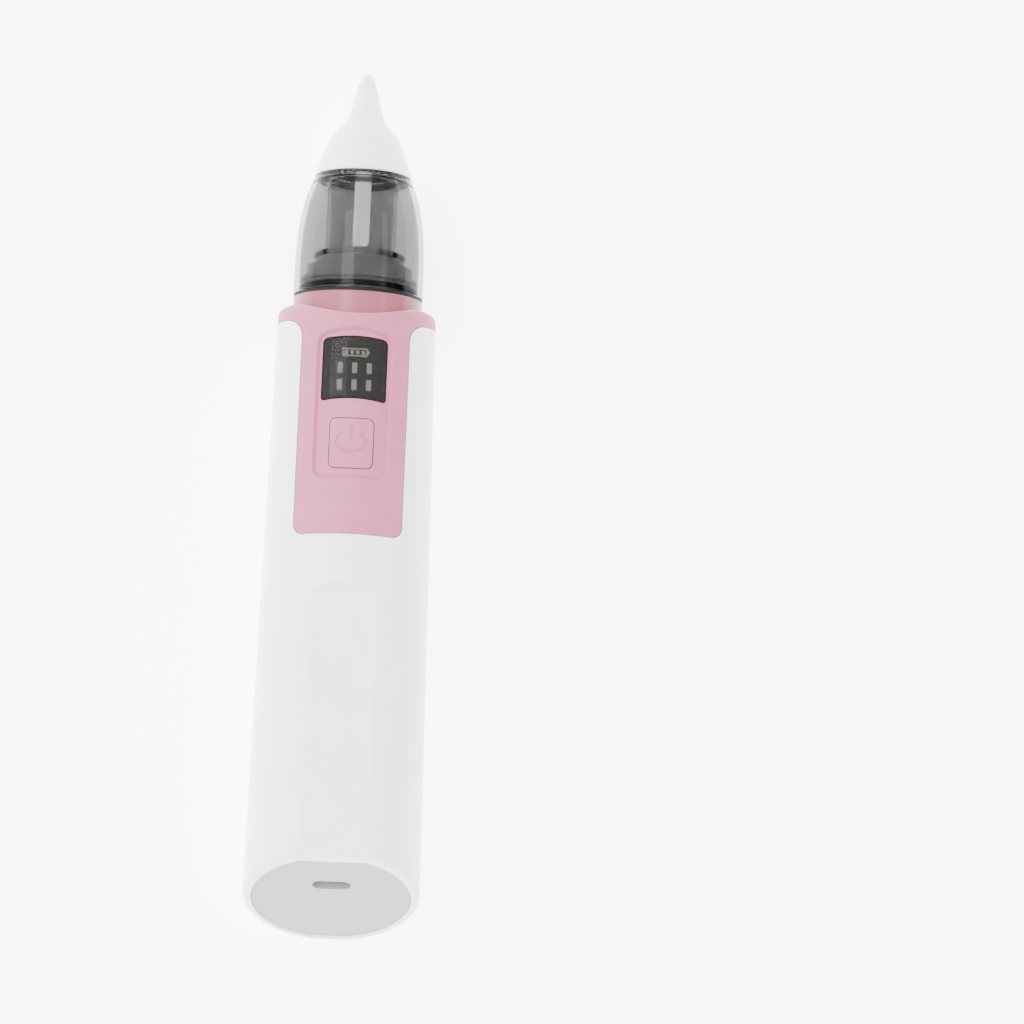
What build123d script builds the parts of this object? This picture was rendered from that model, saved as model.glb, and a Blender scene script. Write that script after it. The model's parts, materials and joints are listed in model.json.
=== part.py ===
"""Battery nasal aspirator: a tapered two-tone handle with a removable collecting cup and nozzle.

Frame, in millimetres: X across the handle, +Y along it towards the nozzle, +Z out of the button side.
The aspirator lies on the flat of its back, so Z = 0 is that flat and the long axis is at Z = AXIS_Z.
"""

import os
from math import cos, radians, sin, tau

from build123d import *

# Handle: an elliptical section that narrows evenly from base to shoulder.
LENGTH = 209.2
TIP_Y = LENGTH / 2
AXIS_Z = 16.25
BASE_HALF_WIDTH = 20.9
BASE_HALF_DEPTH = 16.6
SHOULDER_HALF_WIDTH = 18.9
SHOULDER_HALF_DEPTH = 16.4
SHOULDER_Y = 46.3
BASE_Y = -93.3
BASE_ANGLE = 34.8
WALL = 2.0
LIP_ROUND = 1.1
FACET_TOP_Y = -22.0
FACET_HEIGHT = 15.3
FACET_RAMP = 3.0
TAB_RADIUS = 0.75
TAB_RISE = 15.9

# Front cover: a panel let into the sleeve, joined to a crown round the neck.
PANEL_HALF_WIDTH = 12.75
PANEL_BOTTOM_Y = -8.9
PANEL_ARCH = 0.5
PANEL_CORNER = 2.3
CROWN_Y = 42.2
CROWN_ROUND = 2.1
CROWN_CORNER = 4.0
DIP_DEPTH = 2.7
DIP_HALF_WIDTH = 14.0
COVER_GAP = 0.12
RECESS_DEPTH = 0.8
RECESS_SLOPE = 0.75

# Display window and power button.
DISPLAY_HALF_WIDTH = 7.55
DISPLAY_BOTTOM_Y = 22.7
DISPLAY_TOP_Y = 37.45
DISPLAY_ARCH = (0.8, 0.75)
DISPLAY_CORNERS = (0.7, 1.5)
LENS_GAP = 0.08
LENS_BEVEL = 0.45
BAR_SIZE = (1.2, 2.5)
BAR_PITCH = (3.4, 4.0)
BAR_ROW_Y = 30.8
BUTTON_CENTRE_Y = 12.9
BUTTON_SIZE = (10.2, 11.7)
BUTTON_GAP = 0.15
BUTTON_TRAVEL = 0.8
ENGRAVING = 0.25

# Head: neck, cup base, cup and nozzle, all turned about the long axis.
NECK_RADIUS = 15.5
NECK_TOP_Y = 49.2
NECK_ROUND = 0.35
CUP_RIM_Y = 49.9
CUP_RADIUS = 15.54
CUP_WALL = 1.2
CUP_TAPER_LENGTH = 43.1
CUP_TAPER_POWER = 3.5
CUP_CEILING_Y = 77.85
CUP_TOP_Y = 78.95
TOP_SEAM = 0.02
SEAT_RADII = (8.9, 11.2)
SEAT_Y = 78.3
SEAT_RIBS = 48
SPIGOT_RADIUS = 8.0
SPIGOT_TOP_Y = 83.6
NOZZLE_Y = 79.1
NOZZLE_RADIUS = 11.75
INLET_RADIUS = 1.0
TIP_HOLE = 0.7
FIT_GAP = 0.06

# Inside: board, pump and motor, battery and charging socket.
BOARD_Z = AXIS_Z + 8.6
BOARD_THICKNESS = 1.2
PUMP_Z = AXIS_Z - 3.0
PUMP_RADIUS = 10.2
MOTOR_RADIUS = 9.9
MOTOR_Y = (-12.0, 13.0)
SHAFT_RADIUS = 1.0
CELL_RADIUS = 7.1
CELL_Y = (-70.0, -20.0)
CELL_Z = AXIS_Z - 3.5
USB_SLOT = (9.0, 3.3)
USB_SHELL = (8.94, 3.2, 7.3)
USB_OFFSET = 5.5
SCREW_PLACES = [(x, y) for x in (-8.3, 8.3) for y in (-4.5, 20.9)]

LONG_AXIS = Axis((0, 0, AXIS_Z), (0, 1, 0))
BASE_NORMAL = Vector(0, -cos(radians(BASE_ANGLE)), sin(radians(BASE_ANGLE)))
BASE_PLANE = Plane(origin=(0, BASE_Y, AXIS_Z), x_dir=(1, 0, 0), z_dir=tuple(BASE_NORMAL))


def section_plane(y, z=AXIS_Z):
    """A plane across the handle at y: its own x is +X, its own y is +Z, and it faces -Y."""
    return Plane(origin=(0, y, z), x_dir=(1, 0, 0), z_dir=(0, -1, 0))


def tube(y_low, y_high, outer, inner=0.0, x=0.0, z=AXIS_Z):
    """A round bar or tube along Y."""
    profile = Circle(outer)
    if inner:
        profile -= Circle(inner)
    return extrude(section_plane(y_high, z) * Pos(x, 0) * profile, amount=y_high - y_low)


def block(x_low, x_high, y_low, y_high, z_low, z_high):
    """A plain block between two corners."""
    size = (x_high - x_low, y_high - y_low, z_high - z_low)
    centre = ((x_high + x_low) / 2, (y_high + y_low) / 2, (z_high + z_low) / 2)
    return Pos(*centre) * Box(*size)


def upright(sketch, z_low, z_high):
    """A sketch drawn in X and Y, raised between two heights."""
    return extrude(Pos(0, 0, z_low) * sketch, amount=z_high - z_low)


def turned(wire):
    """A closed outline of (radius, y) points, turned about the long axis."""
    return revolve(Pos(0, 0, AXIS_Z) * make_face(wire), axis=LONG_AXIS)


def half_sizes(y):
    """The handle section's half width and half depth at y."""
    share = (y - BASE_Y) / (SHOULDER_Y - BASE_Y)
    half_width = BASE_HALF_WIDTH + share * (SHOULDER_HALF_WIDTH - BASE_HALF_WIDTH)
    half_depth = BASE_HALF_DEPTH + share * (SHOULDER_HALF_DEPTH - BASE_HALF_DEPTH)
    return half_width, half_depth


def outline(y, inset):
    """The handle's elliptical section at y, drawn inset from the outer surface."""
    half_width, half_depth = half_sizes(y)
    return section_plane(y) * Ellipse(half_width - inset, half_depth - inset)


def body(y_low, y_high, inset=0.0):
    """A solid length of the tapered handle form, with the flat of its back."""
    form = loft([outline(y_low, inset), outline(y_high, inset)], ruled=True)
    return form - block(-30, 30, y_low - 1, y_high + 1, -10, inset)


def beyond_base():
    """Everything past the slanted base."""
    return extrude(BASE_PLANE * Rectangle(90, 90), amount=60)


def facet():
    """The flat cut along the front of the lower handle, with its short ramp at the top."""
    level = AXIS_Z + FACET_HEIGHT
    rise = BASE_HALF_DEPTH - FACET_HEIGHT + 1.0
    side = Polyline(
        (FACET_TOP_Y, level),
        (FACET_TOP_Y + FACET_RAMP * rise, level + rise * 1.3),
        (-130, level + rise * 1.3),
        (-130, level),
        close=True,
    )
    wall = Plane(origin=(-20, 0, 0), x_dir=(0, 1, 0), z_dir=(1, 0, 0)) * make_face(side)
    return extrude(wall, amount=40)


def cover_region(gap):
    """The pink part's outline seen from the front: panel and crown in one, with round inner corners."""
    width = PANEL_HALF_WIDTH - gap
    low = PANEL_BOTTOM_Y + gap
    panel = arched(width, low, 60, (PANEL_ARCH, 1.0), (PANEL_CORNER, 1.0))
    crown = Pos(0, (CROWN_Y + gap + 60) / 2) * Rectangle(60, 60 - CROWN_Y - gap)
    region = panel + crown
    inner = [v for v in region.vertices() if abs(v.Y - CROWN_Y - gap) < 0.01 and abs(v.X) < 20]
    return fillet(inner, CROWN_CORNER - gap)


def arched(half_width, y_low, y_high, arches, corners):
    """A window outline with arched ends and round corners; arches and corners are given low, high."""
    edges = [
        ThreePointArc((-half_width, y_low), (0, y_low + arches[0]), (half_width, y_low)),
        Line((half_width, y_low), (half_width, y_high)),
        ThreePointArc((half_width, y_high), (0, y_high + arches[1]), (-half_width, y_high)),
        Line((-half_width, y_high), (-half_width, y_low)),
    ]
    face = make_face(Wire(edges))
    for level, corner in zip((y_low, y_high), corners):
        face = fillet([v for v in face.vertices() if abs(v.Y - level) < 0.01], corner)
    return face


def recess_outline():
    """The recess's floor; its rim lies RECESS_SLOPE further out."""
    return arched(8.25, 5.0, 37.6, (0.4, 2.0), (1.9, 1.9))


def display_outline(grow):
    low = DISPLAY_BOTTOM_Y - grow
    high = DISPLAY_TOP_Y + grow
    return arched(DISPLAY_HALF_WIDTH + grow, low, high, DISPLAY_ARCH, DISPLAY_CORNERS)


def button_outline(grow):
    width = BUTTON_SIZE[0] + 2 * grow
    height = BUTTON_SIZE[1] + 2 * grow
    return Pos(0, BUTTON_CENTRE_Y) * RectangleRounded(width, height, 1.5 + grow)


def shouldered_form(y_low):
    """The handle form from y_low up, with its rounded shoulder."""
    form = body(y_low, SHOULDER_Y)
    rim = [e for e in form.edges() if abs((e @ 0.5).Y - SHOULDER_Y) < 0.01]
    return fillet(rim, CROWN_ROUND)


def make_housing_sleeve():
    """The white sleeve: an open tube with a slanted end, a front facet and the cover's notch."""
    below_crown = block(-30, 30, -130, CROWN_Y, -5, 60)
    shell = (shouldered_form(-118) & below_crown) - facet() - beyond_base()
    rim = [e for e in shell.edges() if on_base(e)]
    shell = fillet(rim, LIP_ROUND)
    bore = body(-120, 60, WALL) - facet_backing()
    notch = upright(cover_region(0), AXIS_Z, 60)
    return shell - bore - notch + locating_tab(TAB_RADIUS)


def on_base(edge):
    """True for an edge that lies in the slanted base."""
    middle = edge @ 0.5
    return abs((middle - Vector(0, BASE_Y, AXIS_Z)).dot(BASE_NORMAL)) < 0.01


def facet_backing():
    """Keeps the wall thick behind the facet."""
    return block(-20, 20, -130, FACET_TOP_Y + 8, AXIS_Z + FACET_HEIGHT - WALL, 60)


def plug_form(depth_low, depth_high, inset):
    """A slice parallel to the slanted base, between two depths behind it."""
    slab = extrude(BASE_PLANE.offset(-depth_low) * Rectangle(90, 90), amount=-(depth_high - depth_low))
    return (body(-118, -70, inset) - facet_backing()) & slab


def usb_slot(width, height, depth):
    """A stadium-shaped pocket into the base, along its normal."""
    sketch = Pos(0, USB_OFFSET) * SlotOverall(width, height)
    return extrude(BASE_PLANE * sketch, amount=-depth)


def locating_tab(radius):
    """The round tab inside the sleeve that the base plate's notch fits over."""
    return extrude(BASE_PLANE.offset(-0.4) * Pos(0, TAB_RISE) * Circle(radius), amount=-2.2)


def make_base_plate():
    """The slanted end plate, a little below the rim, with the charging slot and its locating notch."""
    plate = plug_form(0.4, 2.6, WALL + 0.12)
    return plate - usb_slot(*USB_SLOT, 9) - locating_tab(TAB_RADIUS + 0.15)


def on_recess_rim(edge):
    """True for an edge where the recess's wall meets the cover's outer surface."""
    middle = edge @ 0.5
    inside = abs(middle.X) < 9.1 and 4.0 < middle.Y < 40.6
    half_width, half_depth = half_sizes(middle.Y)
    reach = (middle.X / half_width) ** 2 + ((middle.Z - AXIS_Z) / half_depth) ** 2
    return inside and middle.Z > AXIS_Z and abs(reach - 1) < 0.001


def make_front_cover():
    """The soft-touch cover: panel, crown, recess, display window, button hole and screw bosses."""
    blank = shouldered_form(PANEL_BOTTOM_Y - 5)
    dip_radius = (DIP_HALF_WIDTH**2 + DIP_DEPTH**2) / (2 * DIP_DEPTH)
    dip = Pos(0, SHOULDER_Y - DIP_DEPTH + dip_radius, 0) * Cylinder(dip_radius, 90)
    crown = (blank & block(-30, 30, CROWN_Y + COVER_GAP, 60, -5, 60)) - dip
    shell = blank - body(PANEL_BOTTOM_Y - 6, CROWN_Y + 1.0, WALL) - dip
    panel = shell & upright(cover_region(COVER_GAP), AXIS_Z, 60)
    skin = upright(recess_outline(), AXIS_Z, 60) - body(-20, 60, RECESS_DEPTH)
    cover = panel + crown - skin
    cover = chamfer([e for e in cover.edges() if on_recess_rim(e)], RECESS_SLOPE)
    for x, y in SCREW_PLACES:
        boss = Pos(x, y, 0) * upright(Circle(2.0), BOARD_Z + BOARD_THICKNESS, AXIS_Z + 13.2)
        cover += boss
    for x, y in SCREW_PLACES:
        cover -= Pos(x, y, 0) * upright(Circle(1.0), 0, AXIS_Z + 12.6)
    cover -= tube(0, 60, NECK_RADIUS + FIT_GAP)
    cover -= upright(display_outline(LENS_GAP), AXIS_Z, 60)
    cover -= upright(button_outline(BUTTON_GAP), AXIS_Z, 60)
    return cover


def make_display_lens():
    """The curved smoked window, with a bevel along its lower front edge."""
    curved = body(10, 44, 0.35) - body(9, 45, 1.75)
    lens = curved & upright(display_outline(0), AXIS_Z, 60)
    low = [e for e in lens.edges() if (e @ 0.5).Y < DISPLAY_BOTTOM_Y + 1.2 and abs((e @ 0.5).X) < 1]
    front = max(low, key=lambda e: (e @ 0.5).Z)
    return chamfer(front, LENS_BEVEL)


def display_marks():
    """Six level bars and a plain battery pictogram, as flat sketches."""
    marks = Sketch()
    for column in (-1, 0, 1):
        for row in (0, -1):
            place = Pos(column * BAR_PITCH[0], BAR_ROW_Y + row * BAR_PITCH[1])
            marks += place * Rectangle(*BAR_SIZE)
    frame = Rectangle(6.0, 1.9) - Rectangle(5.4, 1.3)
    pole = Pos(3.2, 0) * Rectangle(0.4, 0.9)
    cells = Sketch()
    for column in range(4):
        cells += Pos(-1.95 + 1.3 * column, 0) * Rectangle(0.8, 0.8)
    return marks + Pos(-0.1, 34.5) * (frame + pole + cells)


def make_display_marks():
    """The light windows, just behind the lens."""
    layer = body(10, 44, 1.78) - body(9, 45, 1.95)
    return layer & upright(display_marks(), AXIS_Z, 60)


def make_display_module():
    """The light box behind the lens, standing on the board."""
    top = AXIS_Z + 13.0
    low = BOARD_Z + BOARD_THICKNESS
    box = block(-6.4, 6.4, DISPLAY_BOTTOM_Y + 0.8, DISPLAY_TOP_Y - 0.6, low, top)
    wells = Sketch()
    for column in (-1, 0, 1):
        for row in (0, -1):
            wells += Pos(column * BAR_PITCH[0], BAR_ROW_Y + row * BAR_PITCH[1]) * Rectangle(2.0, 3.0)
    wells += Pos(0, 34.3) * Rectangle(7.0, 1.6)
    return box - upright(wells, top - 2.0, top + 1)


def make_display_leds():
    """Small light sources, one in each well of the light box."""
    places = [(c * BAR_PITCH[0], BAR_ROW_Y + r * BAR_PITCH[1]) for c in (-1, 0, 1) for r in (0, -1)]
    places += [(-2.2, 34.3), (2.2, 34.3)]
    leds = [Pos(x, y, AXIS_Z + 11.35) * Box(1.2, 1.2, 0.7) for x, y in places]
    return Compound(children=leds)


def power_symbol():
    """An open ring with a bar at its gap."""
    ring = Pos(0, 0.3) * (Ellipse(3.75, 2.75) - Ellipse(3.05, 2.05))
    ring -= Pos(0, 2.9) * Rectangle(4.4, 2.4)
    bar = Pos(0, 2.4) * RectangleRounded(0.62, 3.6, 0.3)
    return Pos(0, BUTTON_CENTRE_Y) * (ring + bar)


def make_button_cap():
    """The power button: a curved key with a flange under the cover and an engraved symbol."""
    low = AXIS_Z + 12.2
    key = (body(0, 30, 0.5) & upright(button_outline(0), low, 60))
    top = [e for e in key.edges() if (e @ 0.5).Z > AXIS_Z + 14.5]
    key = fillet(top, 0.35)
    flange = upright(button_outline(0.8), low, low + 0.9)
    groove = upright(power_symbol(), AXIS_Z, 60) - body(0, 30, 0.5 + ENGRAVING)
    return key + flange - groove


def make_button_gasket():
    """The silicone frame round the key's flange."""
    frame = button_outline(2.0) - button_outline(1.2)
    return upright(frame, AXIS_Z + 10.9, AXIS_Z + 12.3)


def make_switch_body():
    """The tact switch on the board."""
    low = BOARD_Z + BOARD_THICKNESS
    switch = block(-3, 3, BUTTON_CENTRE_Y - 3, BUTTON_CENTRE_Y + 3, low, low + 1.25)
    return switch - Pos(0, BUTTON_CENTRE_Y, 0) * upright(Circle(1.68), low + 0.2, low + 3)


def make_switch_plunger():
    """The switch's plunger, which the key pushes."""
    low = BOARD_Z + BOARD_THICKNESS
    return Pos(0, BUTTON_CENTRE_Y, 0) * upright(Circle(1.6), low + 1.1, AXIS_Z + 12.2)


def make_main_board():
    """The control board under the cover, drilled for its screws."""
    sketch = Pos(0, 15.5) * RectangleRounded(21, 45, 1.5)
    for x, y in SCREW_PLACES:
        sketch -= Pos(x, y) * Circle(1.15)
    return upright(sketch, BOARD_Z, BOARD_Z + BOARD_THICKNESS)


def make_board_chips():
    """Controller, charger and passive components on the board."""
    top = BOARD_Z + BOARD_THICKNESS
    chips = [
        block(-4, 1, -3.5, 1.5, top, top + 1.0),
        block(3, 6, -2.5, 0.5, top, top + 1.1),
        block(-2.5, 2.5, 21.3, 23.3, top, top + 1.2),
    ]
    for index in range(5):
        x = -5.5 + 2.6 * index
        chips.append(block(x, x + 1.6, 3.4, 4.2, top, top + 0.6))
    return Compound(children=chips)


def make_cover_screws():
    """Pan-head screws that hold the board to the cover's bosses."""
    screws = []
    for x, y in SCREW_PLACES:
        shank = upright(Circle(0.95), BOARD_Z, AXIS_Z + 12.2)
        head = upright(Circle(1.9), BOARD_Z - 1.3, BOARD_Z)
        slot = upright(Rectangle(2.4, 0.5) + Rectangle(0.5, 2.4), BOARD_Z - 1.4, BOARD_Z - 0.8)
        screws.append(Pos(x, y, 0) * (shank + head - slot))
    return Compound(children=screws)


def make_neck_collar():
    """The glossy neck: a cup-shaped collar with a socket for the cup base and a hose barb."""
    wall = tube(CROWN_Y + COVER_GAP, NECK_TOP_Y, NECK_RADIUS, 12.8)
    rim = [e for e in wall.edges() if (e @ 0.5).Y > NECK_TOP_Y - 0.01 and e.length > tau * 14]
    wall = fillet(rim, NECK_ROUND)
    skirt = tube(38.0, CROWN_Y + 1.0, 13.95, 12.6)
    web = tube(43.6, NECK_TOP_Y, 13.0, 9.05) + tube(43.6, 45.0, 9.2)
    barb = tube(38.5, 44.0, 2.0)
    return wall + skirt + web + barb - tube(38, 46, INLET_RADIUS)


def make_neck_gasket():
    """The black sealing ring on top of the neck."""
    return tube(NECK_TOP_Y, NECK_TOP_Y + 0.65, 15.45, 13.6)


def make_cup_base():
    """The grey foot of the cup: a socket plug, a drum, two stepped rings and a wide thin flange."""
    radii = [
        (45.2, 49.2, 9.0),
        (49.2, 49.8, 13.4),
        (49.8, 53.1, 13.0),
        (53.1, 53.8, 14.2),
        (53.8, 56.8, 12.7),
        (56.8, 58.5, 10.7),
        (58.5, 59.0, 10.2),
    ]
    stack = Part()
    for y_low, y_high, radius in radii:
        stack += tube(y_low, y_high, radius)
    port = tube(45, 60, 1.6, x=5.6)
    return stack - tube(44, 48, 7.4) - tube(47, 57.4, 3.2) - port


def make_cup_o_ring():
    """The O-ring that seals the cup's inner wall on the drum."""
    ring = revolve(Pos(13.7, 51.4, AXIS_Z) * Circle(0.6), axis=LONG_AXIS)
    return ring - tube(50, 53, 13.02)


def make_float_disc():
    """The lens-shaped backflow stop that closes off the pump side."""
    edges = [
        Line((0, 59.05), (10.4, 59.05)),
        ThreePointArc((10.4, 59.05), (10.95, 59.65), (10.35, 60.35)),
        Line((10.35, 60.35), (8.6, 61.0)),
        Line((8.6, 61.0), (0, 61.0)),
        Line((0, 61.0), (0, 59.05)),
    ]
    return turned(Wire(edges)) - tube(58, 62, 1.6, x=5.6)


def make_separator_tube():
    """The dark inner cylinder with a flared top, which keeps liquid away from the air path."""
    edges = [
        Line((7.5, 61.0), (8.5, 61.0)),
        Line((8.5, 61.0), (8.5, 76.7)),
        ThreePointArc((8.5, 76.7), (8.8, 77.2), (9.4, 77.4)),
        ThreePointArc((9.4, 77.4), (9.6, 77.6), (9.4, 77.8)),
        Line((9.4, 77.8), (8.3, 77.8)),
        ThreePointArc((8.3, 77.8), (7.75, 77.5), (7.5, 76.9)),
        Line((7.5, 76.9), (7.5, 61.0)),
    ]
    return turned(Wire(edges))


def cup_radius(y):
    """The cup's outer radius: almost straight at the rim, then closing in quickly."""
    share = (y - CUP_RIM_Y) / CUP_TAPER_LENGTH
    return CUP_RADIUS * (1 - max(share, 0.0) ** CUP_TAPER_POWER)


def cup_curve(inset, y_low, y_high):
    """The cup's side as a smooth curve of (radius, y), inset from the outer surface."""
    steps = 6
    heights = [y_low + (y_high - y_low) * i / steps for i in range(steps + 1)]
    return Spline([(cup_radius(y) - inset, y) for y in heights])


def make_collection_cup():
    """The clear wall of the cup, open at both ends; its top closes it above."""
    outer = cup_curve(0, CUP_RIM_Y, CUP_CEILING_Y)
    inner = cup_curve(CUP_WALL, CUP_RIM_Y, CUP_CEILING_Y)
    edges = [outer, Line(outer @ 1, inner @ 1), inner, Line(inner @ 0, outer @ 0)]
    return turned(Wire(edges))


def make_cup_top():
    """The cup's clear ceiling, with the seat for the ribbed ring and a hollow spigot for the nozzle."""
    low = CUP_CEILING_Y + TOP_SEAM
    side = cup_curve(0, low, CUP_TOP_Y)
    edges = [
        side,
        Line(side @ 1, (SEAT_RADII[1], CUP_TOP_Y)),
        Line((SEAT_RADII[1], CUP_TOP_Y), (SEAT_RADII[1], SEAT_Y)),
        Line((SEAT_RADII[1], SEAT_Y), (SEAT_RADII[0], SEAT_Y)),
        Line((SEAT_RADII[0], SEAT_Y), (SEAT_RADII[0], CUP_TOP_Y)),
        Line((SEAT_RADII[0], CUP_TOP_Y), (SPIGOT_RADIUS, CUP_TOP_Y)),
        Line((SPIGOT_RADIUS, CUP_TOP_Y), (SPIGOT_RADIUS, SPIGOT_TOP_Y)),
        Line((SPIGOT_RADIUS, SPIGOT_TOP_Y), (6.8, SPIGOT_TOP_Y)),
        Line((6.8, SPIGOT_TOP_Y), (6.8, 79.6)),
        Line((6.8, 79.6), (2.0, 78.5)),
        Line((2.0, 78.5), (2.0, low)),
        Line((2.0, low), side @ 0),
    ]
    return turned(Wire(edges))


def make_nozzle_seat_ring():
    """The ribbed grey ring let into the cup's top, under the nozzle."""
    ring = tube(SEAT_Y + 0.02, CUP_TOP_Y, SEAT_RADII[1] - 0.02, SEAT_RADII[0] + 0.02)
    for index in range(SEAT_RIBS):
        turn = Pos(0, 0, AXIS_Z) * Rot(0, 360 * index / SEAT_RIBS, 0)
        ring -= turn * Pos(SEAT_RADII[1], CUP_TOP_Y, 0) * Box(2.4, 3.0, 0.7)
    return ring


def make_inlet_tube():
    """The straight tube that carries liquid from the nozzle down into the separator."""
    stem = tube(62.0, 78.4, 1.95, INLET_RADIUS + 0.2)
    return stem - Pos(2.4, 62.0, AXIS_Z) * Rot(0, 0, 35) * Box(4, 3, 6)


def make_nozzle():
    """The soft nozzle: a convex skirt that runs into a slender rounded tip, hollow all the way."""
    outer = Spline(
        (NOZZLE_RADIUS, NOZZLE_Y), (10.2, 83.8), (8.2, 88.6), (5.05, 92.65), (3.5, 96.6), (2.5, 101.1),
        tangents=[(-0.25, 1), (-0.25, 1)],
    )
    inner = Spline((7.6, 84.6), (3.6, 91.3), (TIP_HOLE, 97.0), tangents=[(-0.3, 1), (0, 1)])
    socket = SPIGOT_RADIUS + FIT_GAP
    edges = [
        outer,
        ThreePointArc((2.5, 101.1), (1.78, 103.0), (1.0, 104.4)),
        ThreePointArc((1.0, 104.4), (0.87, 104.55), (TIP_HOLE, TIP_Y)),
        Line((TIP_HOLE, TIP_Y), (TIP_HOLE, 97.0)),
        inner,
        Line((7.6, 84.6), (socket, 84.2)),
        Line((socket, 84.2), (socket, NOZZLE_Y)),
        Line((socket, NOZZLE_Y), (NOZZLE_RADIUS, NOZZLE_Y)),
    ]
    return turned(Wire(edges))


def make_suction_hose():
    """The silicone hose from the pump head to the neck's barb."""
    return tube(32.5, 43.0, 3.1, 2.04)


def make_pump_head():
    """The pump's top with its inlet barb in line with the neck and an outlet at one side."""
    head = tube(27.2, 30.4, PUMP_RADIUS, z=PUMP_Z)
    head += tube(30.0, 37.6, 2.0)
    head += tube(30.0, 34.0, 1.6, x=5.5, z=PUMP_Z - 2.5)
    head -= tube(28.5, 38.0, INLET_RADIUS)
    return head - tube(28.5, 35.0, 0.8, x=5.5, z=PUMP_Z - 2.5)


def make_valve_plate():
    """The valve plate, with ports for three chambers."""
    plate = tube(24.7, 27.2, PUMP_RADIUS, z=PUMP_Z)
    for index in range(3):
        angle = tau * index / 3
        plate -= tube(24, 28, 0.9, x=5.0 * cos(angle), z=PUMP_Z + 5.0 * sin(angle))
    return plate


def make_pump_diaphragm():
    """The rubber diaphragm, one domed chamber for each port."""
    sheet = tube(23.5, 24.7, PUMP_RADIUS - 0.2, z=PUMP_Z)
    for index in range(3):
        angle = tau * index / 3
        sheet += tube(20.6, 23.6, 2.6, 2.0, x=5.0 * cos(angle), z=PUMP_Z + 5.0 * sin(angle))
    return sheet


def make_pump_body():
    """The crank case between motor and diaphragm."""
    case = tube(13.0, 23.5, PUMP_RADIUS, 8.8, z=PUMP_Z)
    floor = tube(13.0, 14.4, 9.0, 3.2, z=PUMP_Z)
    return case + floor


def make_motor_shaft():
    """The motor's steel shaft."""
    return tube(-10.5, 17.6, SHAFT_RADIUS, z=PUMP_Z)


def make_motor_rotor():
    """The wound rotor inside the can, fixed on the shaft."""
    rotor = tube(-6.0, 8.0, 7.2, SHAFT_RADIUS, z=PUMP_Z)
    for index in range(3):
        rotor -= Pos(0, 1, PUMP_Z) * Rot(0, 120 * index, 0) * Pos(6.2, 0, 0) * Box(4.4, 16, 1.6)
    return rotor


def make_pump_crank():
    """The eccentric on the shaft that works the diaphragm."""
    hub = tube(14.9, 17.4, 4.0, SHAFT_RADIUS, z=PUMP_Z)
    pin = tube(17.2, 19.6, 0.9, x=2.0, z=PUMP_Z)
    return hub + pin


def make_motor_can():
    """The motor's steel can, with a bearing hole for the shaft."""
    can = tube(MOTOR_Y[0], MOTOR_Y[1], MOTOR_RADIUS, z=PUMP_Z)
    can -= tube(MOTOR_Y[0] - 1, MOTOR_Y[1] - 1.2, MOTOR_RADIUS - 0.8, z=PUMP_Z)
    boss = tube(MOTOR_Y[1] - 1.3, MOTOR_Y[1] + 0.6, 3.0, z=PUMP_Z)
    return can + boss - tube(0, 20, SHAFT_RADIUS + FIT_GAP, z=PUMP_Z)


def make_motor_magnets():
    """Two curved magnets inside the can."""
    ring = tube(-8.0, 9.5, MOTOR_RADIUS - 0.85, 7.5, z=PUMP_Z)
    return ring - block(-3.5, 3.5, -12, 12, 0, 40)


def make_motor_end_cap():
    """The brush holder that closes the can."""
    cap = tube(MOTOR_Y[0] - 1.6, MOTOR_Y[0], MOTOR_RADIUS, z=PUMP_Z)
    cap += tube(MOTOR_Y[0], MOTOR_Y[0] + 1.4, MOTOR_RADIUS - 0.85, 7.6, z=PUMP_Z)
    cap -= Compound(children=[terminal_slot(x) for x in (-5.0, 5.0)])
    return cap


def terminal_slot(x):
    return block(x - 0.9, x + 0.9, -20, 0, PUMP_Z - 0.25, PUMP_Z + 0.25)


def make_motor_terminals():
    """The two solder tabs in the end cap."""
    low, high = PUMP_Z - 0.25, PUMP_Z + 0.25
    return Compound(children=[block(x - 0.9, x + 0.9, -16.4, -12.0, low, high) for x in (-5.0, 5.0)])


def make_motor_dampers():
    """Two rubber rings between the motor and its cradle."""
    rings = [tube(y, y + 3.0, MOTOR_RADIUS + 1.0, MOTOR_RADIUS, z=PUMP_Z) for y in (-9.0, 5.0)]
    return Compound(children=rings)


def make_chassis():
    """The inner tray along the back, with ribs that cradle motor, pump and battery."""
    tray = body(-74, 36, WALL + 0.25) - body(-75, 37, WALL + 1.75)
    tray &= block(-30, 30, -80, 40, -5, AXIS_Z - 4.0)
    cradle = body(-74, 36, WALL + 1.0) & block(-30, 30, -80, 40, -5, AXIS_Z - 4.0)
    for y in (-68.0, -56.0, -44.0, -32.0, -22.0, -11.0, 0.0, 10.0, 25.0):
        tray += cradle & block(-30, 30, y, y + 1.6, -5, 60)
    tray -= tube(CELL_Y[0] - 5, CELL_Y[1] + 5, CELL_RADIUS + 0.1, z=CELL_Z)
    tray -= tube(MOTOR_Y[0] - 3, MOTOR_Y[1], MOTOR_RADIUS + 1.05, z=PUMP_Z)
    return tray - tube(MOTOR_Y[1], 40, PUMP_RADIUS + 0.1, z=PUMP_Z)


def make_battery_cell():
    """The rechargeable cell, with its raised positive end."""
    can = tube(CELL_Y[0], CELL_Y[1] - 1.0, CELL_RADIUS - 0.15, z=CELL_Z)
    return can + tube(CELL_Y[1] - 1.1, CELL_Y[1], 2.8, z=CELL_Z)


def make_battery_sleeve():
    """The shrink sleeve round the cell."""
    return tube(CELL_Y[0] + 0.2, CELL_Y[1] - 1.2, CELL_RADIUS, CELL_RADIUS - 0.15, z=CELL_Z)


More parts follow.
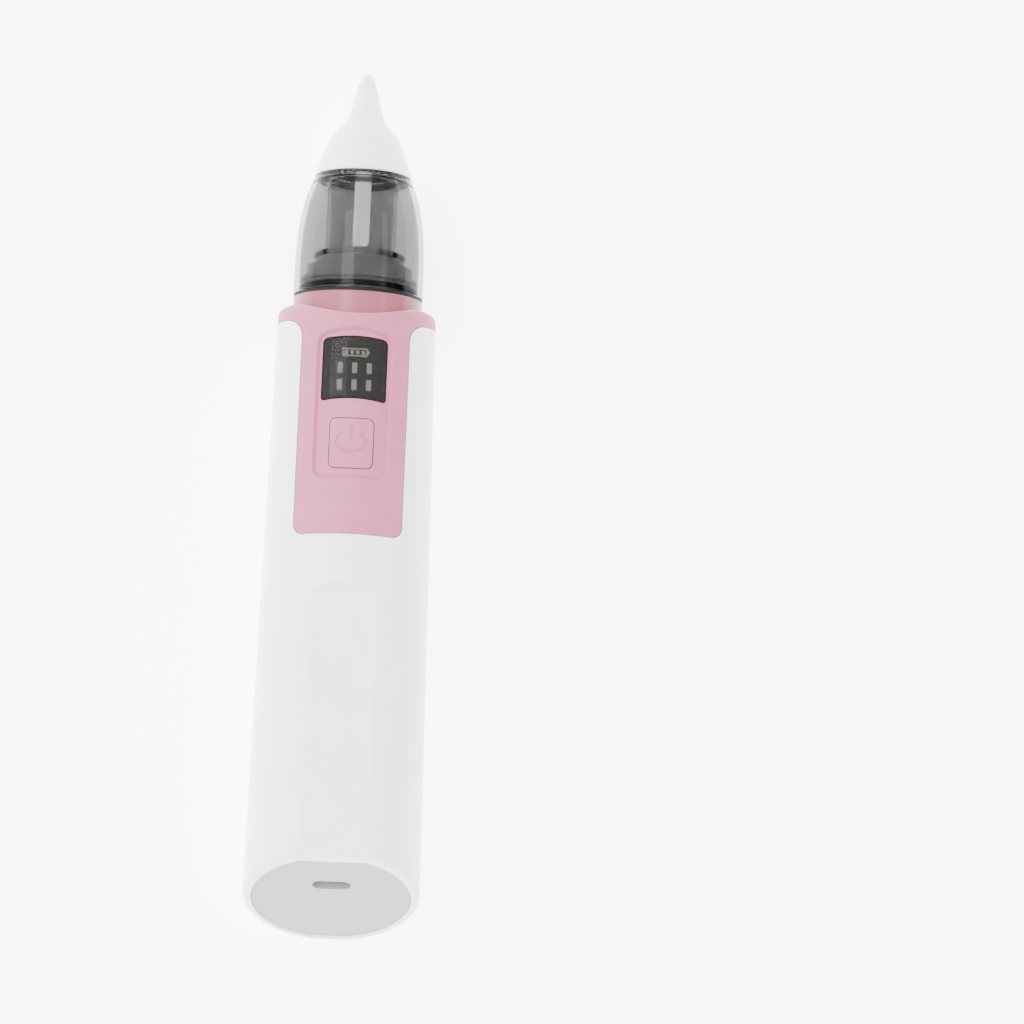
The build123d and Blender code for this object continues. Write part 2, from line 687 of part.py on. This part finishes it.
def make_battery_pads():
    """Two foam pads that keep the cell down in its cradle."""
    rise = CELL_Z + CELL_RADIUS
    pads = [block(-4.0, 4.0, y, y + 9.0, rise, rise + 2.4) for y in (-64.0, -36.0)]
    return Compound(children=pads) - tube(-80, 0, CELL_RADIUS, z=CELL_Z)


def make_battery_tabs():
    """The welded nickel strips at the two ends of the cell."""
    tabs = [
        block(-2.0, 2.0, CELL_Y[0] - 0.2, CELL_Y[0], CELL_Z - 3, CELL_Z + 6),
        block(-2.0, 2.0, CELL_Y[1], CELL_Y[1] + 0.2, CELL_Z - 2, CELL_Z + 7),
    ]
    return Compound(children=tabs)


def lead(points, radii, thickness=0.6):
    """An insulated wire along straight runs joined by arcs."""
    path = FilletPolyline(*points, radius=radii)
    return sweep(Plane(path @ 0, z_dir=path % 0) * Circle(thickness), path=path)


def make_battery_leads():
    """Two wires from the cell's ends to the underside of the board."""
    low_end = CELL_Y[0] - 0.85
    high_end = CELL_Y[1] + 0.85
    over_cell = CELL_Z + CELL_RADIUS + 3.3
    beside_motor = BOARD_Z - 3.2
    side = 9.3
    long_run = [
        (1.0, low_end, CELL_Z + 5.0), (1.0, low_end, over_cell), (6.0, -45, over_cell),
        (side, -14, beside_motor), (side, 1.5, beside_motor), (side, 1.5, BOARD_Z),
    ]
    short_run = [
        (-1.0, high_end, CELL_Z + 5.5), (-1.0, high_end, beside_motor),
        (-side, -12, beside_motor), (-side, 1.5, beside_motor), (-side, 1.5, BOARD_Z),
    ]
    wires = [lead(long_run, [2.0, 20.0, 20.0, 1.3]), lead(short_run, [1.4, 4.0, 1.3])]
    return Compound(children=wires)


def make_usb_receptacle():
    """The charging socket's metal shell behind the slot."""
    width, height, length = USB_SHELL
    outer = Pos(0, USB_OFFSET) * SlotOverall(width, height)
    shell = extrude(BASE_PLANE.offset(-2.7) * outer, amount=-length)
    mouth = Pos(0, USB_OFFSET) * SlotOverall(width - 0.6, height - 0.6)
    return shell - extrude(BASE_PLANE.offset(-2.6) * mouth, amount=-(length - 0.9))


def make_usb_tongue():
    """The contact tongue inside the charging socket."""
    sketch = Pos(0, USB_OFFSET) * Rectangle(6.6, 0.7)
    return extrude(BASE_PLANE.offset(-3.7) * sketch, amount=-(USB_SHELL[2] - 2.0))


def make_usb_board():
    """The small board under the charging socket."""
    below = USB_OFFSET - USB_SHELL[1] / 2 - 0.5
    sketch = Pos(0, below) * Rectangle(15, 1.0)
    return extrude(BASE_PLANE.offset(-2.8) * sketch, amount=-12)


PARTS = {
    "housing_sleeve": make_housing_sleeve,
    "base_plate": make_base_plate,
    "front_cover": make_front_cover,
    "display_lens": make_display_lens,
    "display_marks": make_display_marks,
    "display_module": make_display_module,
    "display_leds": make_display_leds,
    "button_cap": make_button_cap,
    "button_gasket": make_button_gasket,
    "switch_body": make_switch_body,
    "switch_plunger": make_switch_plunger,
    "main_board": make_main_board,
    "board_chips": make_board_chips,
    "cover_screws": make_cover_screws,
    "neck_collar": make_neck_collar,
    "neck_gasket": make_neck_gasket,
    "cup_base": make_cup_base,
    "cup_o_ring": make_cup_o_ring,
    "float_disc": make_float_disc,
    "separator_tube": make_separator_tube,
    "collection_cup": make_collection_cup,
    "cup_top": make_cup_top,
    "nozzle_seat_ring": make_nozzle_seat_ring,
    "inlet_tube": make_inlet_tube,
    "nozzle": make_nozzle,
    "suction_hose": make_suction_hose,
    "pump_head": make_pump_head,
    "valve_plate": make_valve_plate,
    "pump_diaphragm": make_pump_diaphragm,
    "pump_body": make_pump_body,
    "pump_crank": make_pump_crank,
    "motor_shaft": make_motor_shaft,
    "motor_rotor": make_motor_rotor,
    "motor_can": make_motor_can,
    "motor_magnets": make_motor_magnets,
    "motor_end_cap": make_motor_end_cap,
    "motor_terminals": make_motor_terminals,
    "motor_dampers": make_motor_dampers,
    "chassis": make_chassis,
    "battery_cell": make_battery_cell,
    "battery_sleeve": make_battery_sleeve,
    "battery_pads": make_battery_pads,
    "battery_tabs": make_battery_tabs,
    "battery_leads": make_battery_leads,
    "usb_receptacle": make_usb_receptacle,
    "usb_tongue": make_usb_tongue,
    "usb_board": make_usb_board,
}


def main():
    os.makedirs("parts", exist_ok=True)
    for name, make in PARTS.items():
        export_step(make(), f"parts/{name}.step")


main()
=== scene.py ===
import json
import math

import bmesh
import bpy
from mathutils import Matrix, Vector


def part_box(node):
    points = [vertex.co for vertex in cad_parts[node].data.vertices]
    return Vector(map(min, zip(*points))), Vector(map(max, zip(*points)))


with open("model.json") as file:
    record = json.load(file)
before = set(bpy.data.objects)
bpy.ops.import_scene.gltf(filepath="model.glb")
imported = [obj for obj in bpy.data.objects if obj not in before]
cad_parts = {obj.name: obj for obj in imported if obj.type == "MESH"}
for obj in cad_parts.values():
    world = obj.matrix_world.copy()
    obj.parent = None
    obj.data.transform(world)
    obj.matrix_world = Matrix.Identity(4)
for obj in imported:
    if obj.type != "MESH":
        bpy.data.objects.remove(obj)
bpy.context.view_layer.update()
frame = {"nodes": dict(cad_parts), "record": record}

MM = 0.001
NODES = frame["nodes"]
CUP_LOW, CUP_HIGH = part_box("collection_cup")
AXIS_Z = (CUP_LOW.z + CUP_HIGH.z) / 2

# Camera: almost overhead, a little towards the base end, with the aspirator left of the middle.
CAMERA_OFFSET = Vector((2.9 * MM, -61.1 * MM, 623.0 * MM))
CAMERA_AZIMUTH = -30.6
CAMERA_ELEVATION = 83.5
CAMERA_ROLL = 33.0
CAMERA_LENS = 92.1

# Light: where the studio dome is brightest, how far from there it is dimmest, and its two levels.
DOME_BRIGHT_SIDE = (-0.57, 0.1, 0.82)
DOME_DIM_EDGE = -0.35
DOME_LEVELS = (0.35, 4.3)
SOFTBOX_DISTANCE = 0.8
SOFTBOX_LENGTH = 0.9
SOFTBOX_Y = 0.05
FLOOR_HALF_SIZE = 3.0
FLOOR_GLOW = 5.0


# ---------------------------------------------------------------- materials

def new_material(name, color, roughness, **sockets):
    """A Principled material. Extra sockets are given by name, with _ for a space."""
    material = bpy.data.materials.new(name)
    material.use_nodes = True
    shader = material.node_tree.nodes["Principled BSDF"]
    shader.inputs["Base Color"].default_value = (*color, 1.0)
    shader.inputs["Roughness"].default_value = roughness
    for key, value in sockets.items():
        shader.inputs[key.replace("_", " ")].default_value = value
    return material


def tree_parts(material):
    tree = material.node_tree
    return tree, tree.nodes, tree.nodes["Principled BSDF"]


def noise(nodes, tree, scale, detail, stretch=(1, 1, 1)):
    """Noise in object space, in metres, so its scale is in features per metre."""
    coords = nodes.new("ShaderNodeTexCoord")
    mapping = nodes.new("ShaderNodeMapping")
    mapping.inputs["Scale"].default_value = stretch
    texture = nodes.new("ShaderNodeTexNoise")
    texture.inputs["Scale"].default_value = scale
    texture.inputs["Detail"].default_value = detail
    tree.links.new(coords.outputs["Object"], mapping.inputs["Vector"])
    tree.links.new(mapping.outputs["Vector"], texture.inputs["Vector"])
    return texture


def mottle(material, dark, light, scale, stretch=(1, 1, 1)):
    """Slow colour variation between two close shades."""
    tree, nodes, shader = tree_parts(material)
    ramp = nodes.new("ShaderNodeValToRGB")
    ramp.color_ramp.elements[0].position = 0.3
    ramp.color_ramp.elements[1].position = 0.7
    ramp.color_ramp.elements[0].color = (*dark, 1.0)
    ramp.color_ramp.elements[1].color = (*light, 1.0)
    texture = noise(nodes, tree, scale, 4.0, stretch)
    tree.links.new(texture.outputs["Fac"], ramp.inputs["Fac"])
    tree.links.new(ramp.outputs["Color"], shader.inputs["Base Color"])


def rough_range(material, low, high, scale):
    """Roughness that wanders between two values."""
    tree, nodes, shader = tree_parts(material)
    span = nodes.new("ShaderNodeMapRange")
    span.inputs["From Min"].default_value = 0.3
    span.inputs["From Max"].default_value = 0.7
    span.inputs["To Min"].default_value = low
    span.inputs["To Max"].default_value = high
    texture = noise(nodes, tree, scale, 5.0)
    tree.links.new(texture.outputs["Fac"], span.inputs["Value"])
    tree.links.new(span.outputs["Result"], shader.inputs["Roughness"])


def grain(material, scale, height_mm, stretch=(1, 1, 1)):
    """A fine moulded texture as bump, height in millimetres."""
    tree, nodes, shader = tree_parts(material)
    bump = nodes.new("ShaderNodeBump")
    bump.inputs["Strength"].default_value = 1.0
    bump.inputs["Distance"].default_value = height_mm * MM
    texture = noise(nodes, tree, scale, 6.0, stretch)
    tree.links.new(texture.outputs["Fac"], bump.inputs["Height"])
    tree.links.new(bump.outputs["Normal"], shader.inputs["Normal"])


def white_plastic():
    material = new_material(
        "white_plastic", (0.84, 0.84, 0.83), 0.36, Subsurface_Weight=0.06, Subsurface_Scale=0.002,
        Coat_Weight=0.1, Coat_Roughness=0.3,
    )
    mottle(material, (0.82, 0.82, 0.815), (0.86, 0.86, 0.855), 60)
    rough_range(material, 0.32, 0.44, 420)
    grain(material, 2600, 0.012)
    return material


def label_plate():
    material = new_material("label_plate", (0.31, 0.303, 0.293), 0.42, Metallic=0.1)
    mottle(material, (0.295, 0.288, 0.279), (0.325, 0.318, 0.307), 900, (1, 6, 1))
    rough_range(material, 0.36, 0.5, 700)
    grain(material, 5200, 0.008, (0.2, 4, 1))
    return material


def soft_pink():
    material = new_material(
        "soft_pink", (0.41, 0.115, 0.195), 0.62, Sheen_Weight=0.04, Sheen_Roughness=0.5,
        Subsurface_Weight=0.05, Subsurface_Scale=0.001, Specular_IOR_Level=0.35,
    )
    mottle(material, (0.395, 0.11, 0.187), (0.425, 0.12, 0.203), 180)
    rough_range(material, 0.55, 0.7, 900)
    grain(material, 6500, 0.02)
    return material


def gloss_pink():
    material = new_material("gloss_pink", (0.245, 0.071, 0.102), 0.18, Specular_IOR_Level=0.15)
    mottle(material, (0.238, 0.069, 0.099), (0.252, 0.073, 0.105), 140)
    rough_range(material, 0.15, 0.22, 500)
    grain(material, 900, 0.003)
    return material


def smoky(name, color, roughness, transmission, gloss):
    """Smoky clear plastic: the colour is what one wall of it lets through, under a glossy skin."""
    material = new_material(
        name, color, roughness, Transmission_Weight=transmission, IOR=1.06, Coat_Weight=gloss,
        Coat_Roughness=0.04,
    )
    darker = tuple(0.95 * c for c in color)
    mottle(material, darker, color, 90)
    rough_range(material, 0.7 * roughness, 1.3 * roughness, 500)
    return material


def silicone_white():
    material = new_material(
        "silicone_white", (0.88, 0.88, 0.865), 0.42, Subsurface_Weight=0.5, Subsurface_Scale=0.004,
        Subsurface_Radius=(1.0, 0.8, 0.7), Sheen_Weight=0.05, IOR=1.41,
    )
    mottle(material, (0.86, 0.86, 0.845), (0.9, 0.9, 0.885), 120)
    rough_range(material, 0.36, 0.5, 600)
    grain(material, 3200, 0.01)
    return material


def plain(name, color, roughness, scale=800, height_mm=0.01, **sockets):
    """A small-part finish: two close shades, a wandering roughness and a fine grain."""
    material = new_material(name, color, roughness, **sockets)
    mottle(material, tuple(0.9 * c for c in color), tuple(min(1.0, 1.1 * c) for c in color), scale / 4)
    rough_range(material, 0.8 * roughness, min(1.0, 1.2 * roughness), scale)
    grain(material, 3 * scale, height_mm)
    return material


def lit(material, color):
    """Gives a finish a faint glow in the given colour: the even glow of the floor, and painted light on
    parts that are no lamp.
    """
    material.node_tree.nodes["Principled BSDF"].inputs["Emission Color"].default_value = (*color, 1.0)
    return material


MATERIALS = {
    "white_plastic": white_plastic(),
    "label_plate": label_plate(),
    "soft_pink": soft_pink(),
    "gloss_pink": gloss_pink(),
    "smoked_lens": smoky("smoked_lens", (0.2, 0.195, 0.185), 0.04, 0.94, 0.05),
    # The light guide glows faintly: painted light, so the display marks show through the smoked lens.
    "light_guide": lit(plain("light_guide", (0.75, 0.75, 0.75), 0.5, Emission_Strength=1.0), (1, 1, 1)),
    "black_plastic": plain("black_plastic", (0.015, 0.015, 0.015), 0.5, Specular_IOR_Level=0.2),
    "smoky_clear": smoky("smoky_clear", (0.295, 0.293, 0.296), 0.02, 1.0, 0.1),
    "smoky_dark": smoky("smoky_dark", (0.5, 0.49, 0.465), 0.12, 0.2, 0.8),
    "smoky_mid": smoky("smoky_mid", (0.62, 0.615, 0.615), 0.02, 0.95, 0.3),
    # The frosted inlet tube glows: painted light, so it reads bright through the smoky cup.
    "frosted_clear": lit(plain("frosted_clear", (0.88, 0.88, 0.88), 0.3, Emission_Strength=4.2), (1, 1, 1)),
    "silicone_white": silicone_white(),
    "black_rubber": plain("black_rubber", (0.008, 0.008, 0.008), 0.55, Specular_IOR_Level=0.08),
    "board_green": plain("board_green", (0.02, 0.16, 0.06), 0.35, Coat_Weight=0.4),
    "steel": plain("steel", (0.56, 0.56, 0.55), 0.3, Metallic=1.0),
    "brass": plain("brass", (0.72, 0.5, 0.2), 0.3, Metallic=1.0),
    "magnet_grey": plain("magnet_grey", (0.1, 0.1, 0.1), 0.6, Metallic=0.4),
    "cell_blue": plain("cell_blue", (0.03, 0.12, 0.4), 0.3, Coat_Weight=0.5),
    "foam_black": plain("foam_black", (0.03, 0.03, 0.03), 0.95, 1500, 0.15),
    "wire_red": plain("wire_red", (0.6, 0.03, 0.03), 0.35),
}


def paint_cad_nodes():
    """Each CAD node takes the finish of its own slot."""
    for part in frame["record"]["subparts"]:
        node = NODES[part["node"]]
        node.data.materials.clear()
        node.data.materials.append(MATERIALS[part["material_slot"]])


# ---------------------------------------------------------------- stage

def make_floor():
    mesh = bpy.data.meshes.new("floor")
    bm = bmesh.new()
    bmesh.ops.create_grid(bm, x_segments=1, y_segments=1, size=FLOOR_HALF_SIZE)
    bm.to_mesh(mesh)
    bm.free()
    floor = bpy.data.objects.new("floor", mesh)
    bpy.context.scene.collection.objects.link(floor)
    material = new_material("floor", (0.9, 0.9, 0.9), 0.8, Emission_Strength=FLOOR_GLOW)
    floor.data.materials.append(lit(material, (1, 1, 1)))


def make_world():
    """A smooth studio dome that is brighter on the upper left than on the right."""
    world = bpy.data.worlds.new("studio")
    world.use_nodes = True
    tree = world.node_tree
    coords = tree.nodes.new("ShaderNodeTexCoord")
    toward = tree.nodes.new("ShaderNodeVectorMath")
    toward.operation = "DOT_PRODUCT"
    toward.inputs[1].default_value = DOME_BRIGHT_SIDE
    level = tree.nodes.new("ShaderNodeMapRange")
    level.inputs["From Min"].default_value = DOME_DIM_EDGE
    level.inputs["From Max"].default_value = 1.0
    level.inputs["To Min"].default_value = DOME_LEVELS[0]
    level.inputs["To Max"].default_value = DOME_LEVELS[1]
    background = tree.nodes["Background"]
    background.inputs["Color"].default_value = (1, 1, 1, 1)
    tree.links.new(coords.outputs["Generated"], toward.inputs[0])
    tree.links.new(toward.outputs["Value"], level.inputs["Value"])
    tree.links.new(level.outputs["Result"], background.inputs["Strength"])
    bpy.context.scene.world = world


def softbox(name, angle, width, power):
    """A long soft light over the aspirator, tilted by an angle from overhead towards +X."""
    turn = math.radians(angle)
    data = bpy.data.lights.new(name, "AREA")
    data.shape = "RECTANGLE"
    data.size = width
    data.size_y = SOFTBOX_LENGTH
    data.energy = power
    light = bpy.data.objects.new(name, data)
    across = SOFTBOX_DISTANCE * math.sin(turn)
    above = SOFTBOX_DISTANCE * math.cos(turn)
    light.location = (across, SOFTBOX_Y, AXIS_Z + above)
    light.rotation_euler = (0, turn, 0)
    bpy.context.scene.collection.objects.link(light)


def make_lights():
    softbox("left_box", -20.5, 0.3, 9.0)
    softbox("right_box", 44.5, 0.16, 2.6)


def make_camera():
    azimuth = math.radians(CAMERA_AZIMUTH)
    elevation = math.radians(CAMERA_ELEVATION)
    back = Vector((
        math.sin(azimuth) * math.cos(elevation),
        -math.cos(azimuth) * math.cos(elevation),
        math.sin(elevation),
    ))
    data = bpy.data.cameras.new("camera")
    data.lens = CAMERA_LENS
    data.sensor_width = 36.0
    data.clip_start = 0.01
    camera = bpy.data.objects.new("camera", data)
    camera.location = Vector((0, 0, AXIS_Z)) + CAMERA_OFFSET
    right = Vector((math.cos(azimuth), math.sin(azimuth), 0))
    up = back.cross(right)
    roll = math.radians(CAMERA_ROLL)
    turned_right = math.cos(roll) * right + math.sin(roll) * up
    turned_up = back.cross(turned_right)
    camera.rotation_euler = Matrix((turned_right, turned_up, back)).transposed().to_euler()
    bpy.context.scene.collection.objects.link(camera)
    bpy.context.scene.camera = camera


paint_cad_nodes()
make_floor()
make_world()
make_lights()
make_camera()
